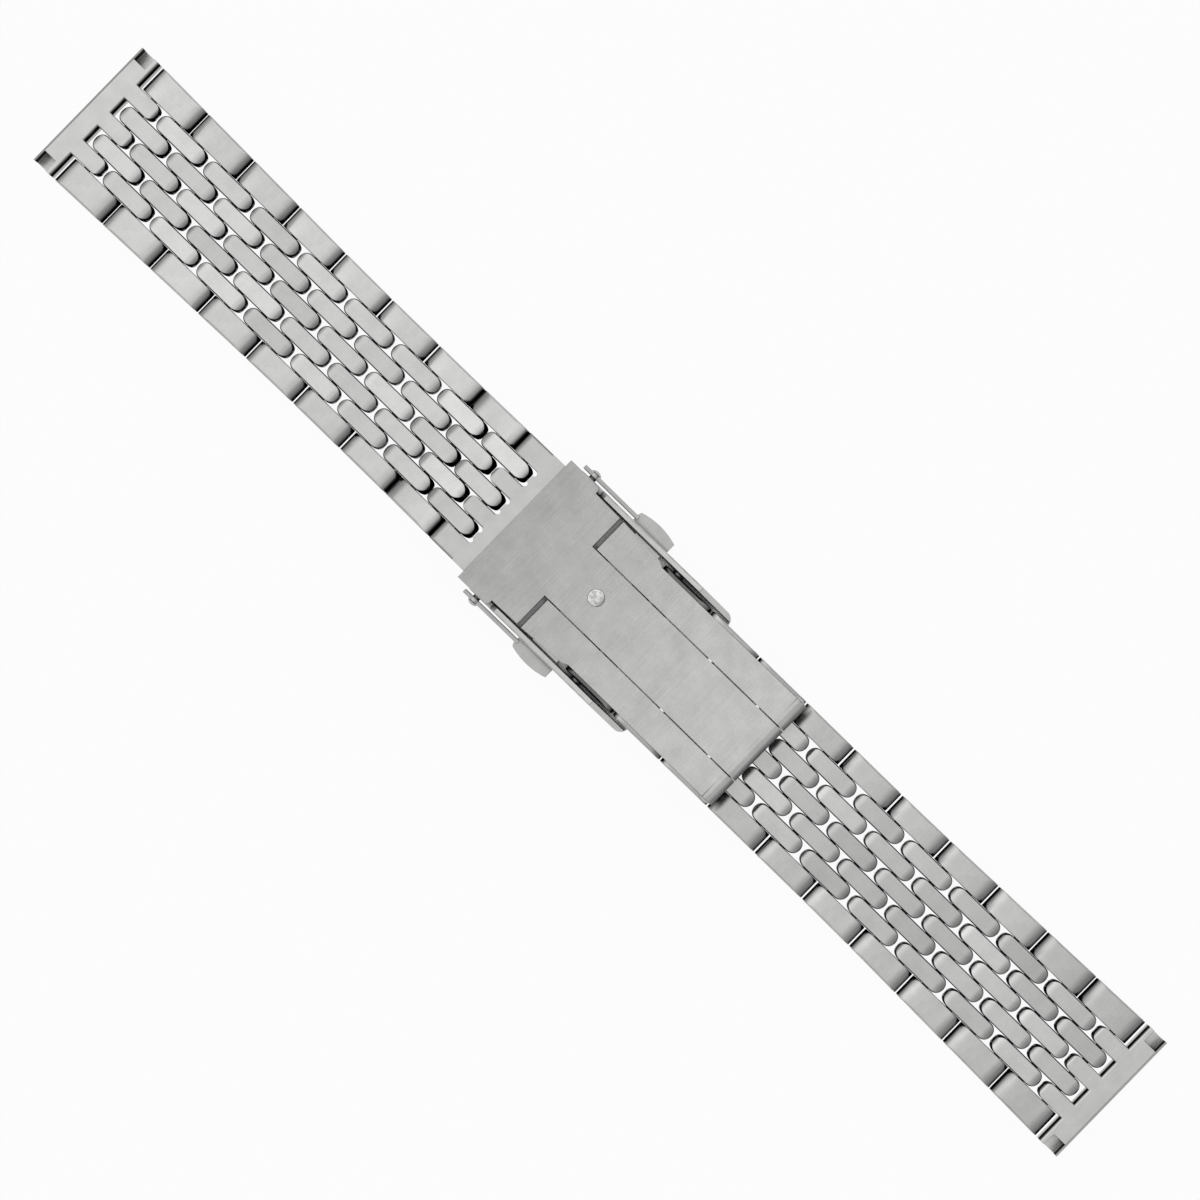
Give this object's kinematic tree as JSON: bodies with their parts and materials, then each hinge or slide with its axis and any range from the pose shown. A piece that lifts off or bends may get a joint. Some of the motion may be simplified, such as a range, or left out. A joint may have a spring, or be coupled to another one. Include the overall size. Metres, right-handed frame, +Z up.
{
  "type": "beads of rice watch bracelet",
  "caption": "Steel watch strap of rice-grain beads between outer links, with straight end pieces and a folding clasp with two side pushers.",
  "frame": {"origin": "middle of the bracelet's bounding box, on the table under it", "axes": "+X along the strap towards the end piece on the cover's side, +Z up to the wrist side"},
  "size_m": [0.1782, 0.0238, 0.0079],
  "materials": {
    "strap_steel": "satin stainless steel",
    "cover_steel": "brushed stainless steel",
    "blade_steel": "satin stainless steel sheet",
    "pin_steel": "drawn stainless steel",
    "latch_steel": "polished stainless steel"
  },
  "bodies": {
    "cover": {"clasp_cover": "cover_steel", "cover_hinge_pin": "pin_steel", "spring_bar": "pin_steel", "spring_bar_tips": "pin_steel"},
    "outer_blade": {"outer_blade": "blade_steel", "blade_hinge_pin": "pin_steel"},
    "inner_blade": {"inner_blade": "blade_steel", "clasp_end_link": "strap_steel", "clasp_link_pin": "pin_steel", "locking_stud": "latch_steel"},
    "pusher_left": {"pusher_left": "cover_steel", "latch_plate_left": "latch_steel"},
    "pusher_right": {"pusher_right": "cover_steel", "latch_plate_right": "latch_steel"},
    "blade_side_row_01": {"blade_side_row_01": "strap_steel"},
    "blade_side_row_02": {"blade_side_row_02": "strap_steel"},
    "blade_side_row_03": {"blade_side_row_03": "strap_steel"},
    "blade_side_row_04": {"blade_side_row_04": "strap_steel"},
    "blade_side_row_05": {"blade_side_row_05": "strap_steel"},
    "blade_side_row_06": {"blade_side_row_06": "strap_steel"},
    "blade_side_row_07": {"blade_side_row_07": "strap_steel"},
    "blade_side_row_08": {"blade_side_row_08": "strap_steel"},
    "blade_side_row_09": {"blade_side_row_09": "strap_steel"},
    "blade_side_row_10": {"blade_side_row_10": "strap_steel"},
    "blade_side_row_11": {"blade_side_row_11": "strap_steel"},
    "blade_side_row_12": {"blade_side_row_12": "strap_steel"},
    "blade_side_row_13": {"blade_side_row_13": "strap_steel"},
    "blade_side_row_14": {"blade_side_row_14": "strap_steel"},
    "blade_side_row_15": {"blade_side_row_15": "strap_steel"},
    "blade_side_row_16": {"blade_side_row_16": "strap_steel"},
    "blade_side_end_piece": {"blade_side_end_piece": "strap_steel"},
    "cover_side_row_01": {"cover_side_row_01": "strap_steel"},
    "cover_side_row_02": {"cover_side_row_02": "strap_steel"},
    "cover_side_row_03": {"cover_side_row_03": "strap_steel"},
    "cover_side_row_04": {"cover_side_row_04": "strap_steel"},
    "cover_side_row_05": {"cover_side_row_05": "strap_steel"},
    "cover_side_row_06": {"cover_side_row_06": "strap_steel"},
    "cover_side_row_07": {"cover_side_row_07": "strap_steel"},
    "cover_side_row_08": {"cover_side_row_08": "strap_steel"},
    "cover_side_row_09": {"cover_side_row_09": "strap_steel"},
    "cover_side_row_10": {"cover_side_row_10": "strap_steel"},
    "cover_side_row_11": {"cover_side_row_11": "strap_steel"},
    "cover_side_row_12": {"cover_side_row_12": "strap_steel"},
    "cover_side_row_13": {"cover_side_row_13": "strap_steel"},
    "cover_side_row_14": {"cover_side_row_14": "strap_steel"},
    "cover_side_row_15": {"cover_side_row_15": "strap_steel"},
    "cover_side_row_16": {"cover_side_row_16": "strap_steel"},
    "cover_side_row_17": {"cover_side_row_17": "strap_steel"},
    "cover_side_row_18": {"cover_side_row_18": "strap_steel"},
    "cover_side_row_19": {"cover_side_row_19": "strap_steel"},
    "cover_side_end_piece": {"cover_side_end_piece": "strap_steel"}
  },
  "joints": [
    {"name": "cover_hinge", "type": "hinge", "parent": "cover", "child": "outer_blade", "pos_m": [-0.01065, 0, 0.00323], "axis": [0, -1, 0], "range_deg": [0, 90]},
    {"name": "blade_hinge", "type": "hinge", "parent": "outer_blade", "child": "inner_blade", "pos_m": [0.02685, 0, 0.00675], "axis": [0, 1, 0], "range_deg": [0, 165]},
    {"name": "press_left", "type": "hinge", "parent": "cover", "child": "pusher_left", "pos_m": [-0.01065, -0.01075, 0.00323], "axis": [0, 0, 1], "range_deg": [0, 2.2], "stiffness_Nm_per_rad": 0.05, "springref_deg": -1.15},
    {"name": "press_right", "type": "hinge", "parent": "cover", "child": "pusher_right", "pos_m": [-0.01065, 0.01075, 0.00323], "axis": [0, 0, -1], "range_deg": [0, 2.2], "stiffness_Nm_per_rad": 0.05, "springref_deg": -1.15},
    {"name": "blade_side_pin_00", "type": "hinge", "parent": "inner_blade", "child": "blade_side_row_01", "pos_m": [-0.01803, 0, 0.0048], "axis": [0, 1, 0], "range_deg": [-8, 15]},
    {"name": "blade_side_pin_01", "type": "hinge", "parent": "blade_side_row_01", "child": "blade_side_row_02", "pos_m": [-0.02203, 0, 0.00377], "axis": [0, 1, 0], "range_deg": [-8, 15]},
    {"name": "blade_side_pin_02", "type": "hinge", "parent": "blade_side_row_02", "child": "blade_side_row_03", "pos_m": [-0.02597, 0, 0.00256], "axis": [0, 1, 0], "range_deg": [-8, 15]},
    {"name": "blade_side_pin_03", "type": "hinge", "parent": "blade_side_row_03", "child": "blade_side_row_04", "pos_m": [-0.02999, 0, 0.00163], "axis": [0, 1, 0], "range_deg": [-8, 15]},
    {"name": "blade_side_pin_04", "type": "hinge", "parent": "blade_side_row_04", "child": "blade_side_row_05", "pos_m": [-0.0341, 0, 0.00135], "axis": [0, 1, 0], "range_deg": [-8, 15]},
    {"name": "blade_side_pin_05", "type": "hinge", "parent": "blade_side_row_05", "child": "blade_side_row_06", "pos_m": [-0.03823, 0, 0.00135], "axis": [0, 1, 0], "range_deg": [-8, 15]},
    {"name": "blade_side_pin_06", "type": "hinge", "parent": "blade_side_row_06", "child": "blade_side_row_07", "pos_m": [-0.04235, 0, 0.00135], "axis": [0, 1, 0], "range_deg": [-8, 15]},
    {"name": "blade_side_pin_07", "type": "hinge", "parent": "blade_side_row_07", "child": "blade_side_row_08", "pos_m": [-0.04648, 0, 0.00135], "axis": [0, 1, 0], "range_deg": [-8, 15]},
    {"name": "blade_side_pin_08", "type": "hinge", "parent": "blade_side_row_08", "child": "blade_side_row_09", "pos_m": [-0.0506, 0, 0.00135], "axis": [0, 1, 0], "range_deg": [-8, 15]},
    {"name": "blade_side_pin_09", "type": "hinge", "parent": "blade_side_row_09", "child": "blade_side_row_10", "pos_m": [-0.05473, 0, 0.00135], "axis": [0, 1, 0], "range_deg": [-8, 15]},
    {"name": "blade_side_pin_10", "type": "hinge", "parent": "blade_side_row_10", "child": "blade_side_row_11", "pos_m": [-0.05885, 0, 0.00135], "axis": [0, 1, 0], "range_deg": [-8, 15]},
    {"name": "blade_side_pin_11", "type": "hinge", "parent": "blade_side_row_11", "child": "blade_side_row_12", "pos_m": [-0.06298, 0, 0.00135], "axis": [0, 1, 0], "range_deg": [-8, 15]},
    {"name": "blade_side_pin_12", "type": "hinge", "parent": "blade_side_row_12", "child": "blade_side_row_13", "pos_m": [-0.0671, 0, 0.00135], "axis": [0, 1, 0], "range_deg": [-8, 15]},
    {"name": "blade_side_pin_13", "type": "hinge", "parent": "blade_side_row_13", "child": "blade_side_row_14", "pos_m": [-0.07123, 0, 0.00135], "axis": [0, 1, 0], "range_deg": [-8, 15]},
    {"name": "blade_side_pin_14", "type": "hinge", "parent": "blade_side_row_14", "child": "blade_side_row_15", "pos_m": [-0.07535, 0, 0.00135], "axis": [0, 1, 0], "range_deg": [-8, 15]},
    {"name": "blade_side_pin_15", "type": "hinge", "parent": "blade_side_row_15", "child": "blade_side_row_16", "pos_m": [-0.07948, 0, 0.00135], "axis": [0, 1, 0], "range_deg": [-8, 15]},
    {"name": "blade_side_pin_16", "type": "hinge", "parent": "blade_side_row_16", "child": "blade_side_end_piece", "pos_m": [-0.0836, 0, 0.00135], "axis": [0, 1, 0], "range_deg": [-8, 15]},
    {"name": "cover_side_pin_00", "type": "hinge", "parent": "cover", "child": "cover_side_row_01", "pos_m": [0.00535, 0, 0.00252], "axis": [0, -1, 0], "range_deg": [-0.5, 1]},
    {"name": "cover_side_pin_01", "type": "hinge", "parent": "cover_side_row_01", "child": "cover_side_row_02", "pos_m": [0.00947, 0, 0.00272], "axis": [0, -1, 0], "range_deg": [-0.5, 2]},
    {"name": "cover_side_pin_02", "type": "hinge", "parent": "cover_side_row_02", "child": "cover_side_row_03", "pos_m": [0.01358, 0, 0.00308], "axis": [0, -1, 0], "range_deg": [-4, 8]},
    {"name": "cover_side_pin_03", "type": "hinge", "parent": "cover_side_row_03", "child": "cover_side_row_04", "pos_m": [0.01768, 0, 0.0026], "axis": [0, -1, 0], "range_deg": [-8, 15]},
    {"name": "cover_side_pin_04", "type": "hinge", "parent": "cover_side_row_04", "child": "cover_side_row_05", "pos_m": [0.02176, 0, 0.00201], "axis": [0, -1, 0], "range_deg": [-8, 15]},
    {"name": "cover_side_pin_05", "type": "hinge", "parent": "cover_side_row_05", "child": "cover_side_row_06", "pos_m": [0.02586, 0, 0.00156], "axis": [0, -1, 0], "range_deg": [-8, 15]},
    {"name": "cover_side_pin_06", "type": "hinge", "parent": "cover_side_row_06", "child": "cover_side_row_07", "pos_m": [0.02998, 0, 0.00138], "axis": [0, -1, 0], "range_deg": [-8, 15]},
    {"name": "cover_side_pin_07", "type": "hinge", "parent": "cover_side_row_07", "child": "cover_side_row_08", "pos_m": [0.0341, 0, 0.00135], "axis": [0, -1, 0], "range_deg": [-8, 15]},
    {"name": "cover_side_pin_08", "type": "hinge", "parent": "cover_side_row_08", "child": "cover_side_row_09", "pos_m": [0.03823, 0, 0.00135], "axis": [0, -1, 0], "range_deg": [-8, 15]},
    {"name": "cover_side_pin_09", "type": "hinge", "parent": "cover_side_row_09", "child": "cover_side_row_10", "pos_m": [0.04235, 0, 0.00135], "axis": [0, -1, 0], "range_deg": [-8, 15]},
    {"name": "cover_side_pin_10", "type": "hinge", "parent": "cover_side_row_10", "child": "cover_side_row_11", "pos_m": [0.04648, 0, 0.00135], "axis": [0, -1, 0], "range_deg": [-8, 15]},
    {"name": "cover_side_pin_11", "type": "hinge", "parent": "cover_side_row_11", "child": "cover_side_row_12", "pos_m": [0.0506, 0, 0.00135], "axis": [0, -1, 0], "range_deg": [-8, 15]},
    {"name": "cover_side_pin_12", "type": "hinge", "parent": "cover_side_row_12", "child": "cover_side_row_13", "pos_m": [0.05473, 0, 0.00135], "axis": [0, -1, 0], "range_deg": [-8, 15]},
    {"name": "cover_side_pin_13", "type": "hinge", "parent": "cover_side_row_13", "child": "cover_side_row_14", "pos_m": [0.05885, 0, 0.00135], "axis": [0, -1, 0], "range_deg": [-8, 15]},
    {"name": "cover_side_pin_14", "type": "hinge", "parent": "cover_side_row_14", "child": "cover_side_row_15", "pos_m": [0.06298, 0, 0.00135], "axis": [0, -1, 0], "range_deg": [-8, 15]},
    {"name": "cover_side_pin_15", "type": "hinge", "parent": "cover_side_row_15", "child": "cover_side_row_16", "pos_m": [0.0671, 0, 0.00135], "axis": [0, -1, 0], "range_deg": [-8, 15]},
    {"name": "cover_side_pin_16", "type": "hinge", "parent": "cover_side_row_16", "child": "cover_side_row_17", "pos_m": [0.07123, 0, 0.00135], "axis": [0, -1, 0], "range_deg": [-8, 15]},
    {"name": "cover_side_pin_17", "type": "hinge", "parent": "cover_side_row_17", "child": "cover_side_row_18", "pos_m": [0.07535, 0, 0.00135], "axis": [0, -1, 0], "range_deg": [-8, 15]},
    {"name": "cover_side_pin_18", "type": "hinge", "parent": "cover_side_row_18", "child": "cover_side_row_19", "pos_m": [0.07948, 0, 0.00135], "axis": [0, -1, 0], "range_deg": [-8, 15]},
    {"name": "cover_side_pin_19", "type": "hinge", "parent": "cover_side_row_19", "child": "cover_side_end_piece", "pos_m": [0.0836, 0, 0.00135], "axis": [0, -1, 0], "range_deg": [-8, 15]}
  ]
}
